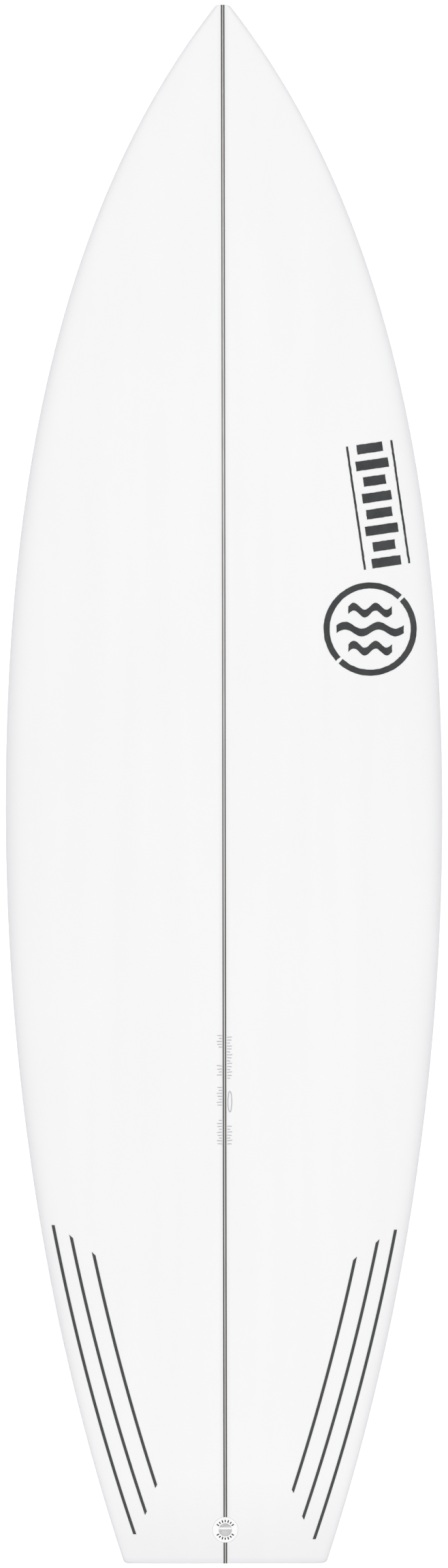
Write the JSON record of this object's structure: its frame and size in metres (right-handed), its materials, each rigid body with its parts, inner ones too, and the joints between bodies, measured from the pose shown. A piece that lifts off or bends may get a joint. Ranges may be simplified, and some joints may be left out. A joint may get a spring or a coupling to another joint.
{
  "type": "shortboard surfboard",
  "caption": "White glassed shortboard with a squared tail, dark-lined stringer, leash plug, rail strips and removable fins held by grub screws.",
  "frame": {"origin": "centre of the outline in plan, at the height of the side fins' tips", "axes": "+Y towards the nose, +X towards the right-hand rail seen from above, +Z out of the deck"},
  "size_m": [0.508, 1.8034, 0.2225],
  "materials": {
    "foam": "fine closed-cell foam",
    "timber": "sanded",
    "dark_ply": "satin",
    "clear_glass": "clear polished resin",
    "carbon_tape": "woven, under clear resin",
    "print_ink": "printed, under clear resin",
    "plug_white": "moulded",
    "box_white": "moulded",
    "fin_composite": "satin composite",
    "screw_steel": "plain"
  },
  "bodies": {
    "board": {"foam_left": "foam", "foam_right": "foam", "stringer_core": "timber", "stringer_face_left": "dark_ply", "stringer_face_right": "dark_ply", "deck_laminate": "clear_glass", "bottom_laminate": "clear_glass", "strip_left_outer": "carbon_tape", "strip_left_middle": "carbon_tape", "strip_left_inner": "carbon_tape", "strip_right_outer": "carbon_tape", "strip_right_middle": "carbon_tape", "strip_right_inner": "carbon_tape", "emblem_roundel": "print_ink", "emblem_bars": "print_ink", "leash_cup": "plug_white", "leash_bar": "plug_white", "fin_box_left": "box_white", "fin_box_right": "box_white", "fin_box_centre": "box_white"},
    "fin_left": {"fin_left": "fin_composite"},
    "fin_right": {"fin_right": "fin_composite"},
    "fin_centre": {"fin_centre": "fin_composite"},
    "screw_left_front": {"screw_left_front": "screw_steel"},
    "screw_left_rear": {"screw_left_rear": "screw_steel"},
    "screw_right_front": {"screw_right_front": "screw_steel"},
    "screw_right_rear": {"screw_right_rear": "screw_steel"},
    "screw_centre_front": {"screw_centre_front": "screw_steel"},
    "screw_centre_rear": {"screw_centre_rear": "screw_steel"}
  },
  "joints": [
    {"name": "fin_left_slide", "type": "slide", "parent": "board", "child": "fin_left", "axis": [-0.1132, -0.0794, -0.9904], "range_m": [0, 0.03]},
    {"name": "screw_left_front_travel", "type": "slide", "parent": "board", "child": "screw_left_front", "axis": [0.3982, -0.0958, -0.9123], "range_m": [0, 0.003]},
    {"name": "screw_left_rear_travel", "type": "slide", "parent": "board", "child": "screw_left_rear", "axis": [0.3982, -0.0958, -0.9123], "range_m": [0, 0.003]},
    {"name": "fin_right_slide", "type": "slide", "parent": "board", "child": "fin_right", "axis": [0.1132, -0.0794, -0.9904], "range_m": [0, 0.03]},
    {"name": "screw_right_front_travel", "type": "slide", "parent": "board", "child": "screw_right_front", "axis": [-0.3982, -0.0958, -0.9123], "range_m": [0, 0.003]},
    {"name": "screw_right_rear_travel", "type": "slide", "parent": "board", "child": "screw_right_rear", "axis": [-0.3982, -0.0958, -0.9123], "range_m": [0, 0.003]},
    {"name": "fin_centre_slide", "type": "slide", "parent": "board", "child": "fin_centre", "axis": [0, -0.1208, -0.9927], "range_m": [0, 0.03]},
    {"name": "screw_centre_front_travel", "type": "slide", "parent": "board", "child": "screw_centre_front", "axis": [-0.5, -0.1046, -0.8597], "range_m": [0, 0.003]},
    {"name": "screw_centre_rear_travel", "type": "slide", "parent": "board", "child": "screw_centre_rear", "axis": [-0.5, -0.1046, -0.8597], "range_m": [0, 0.003]}
  ]
}
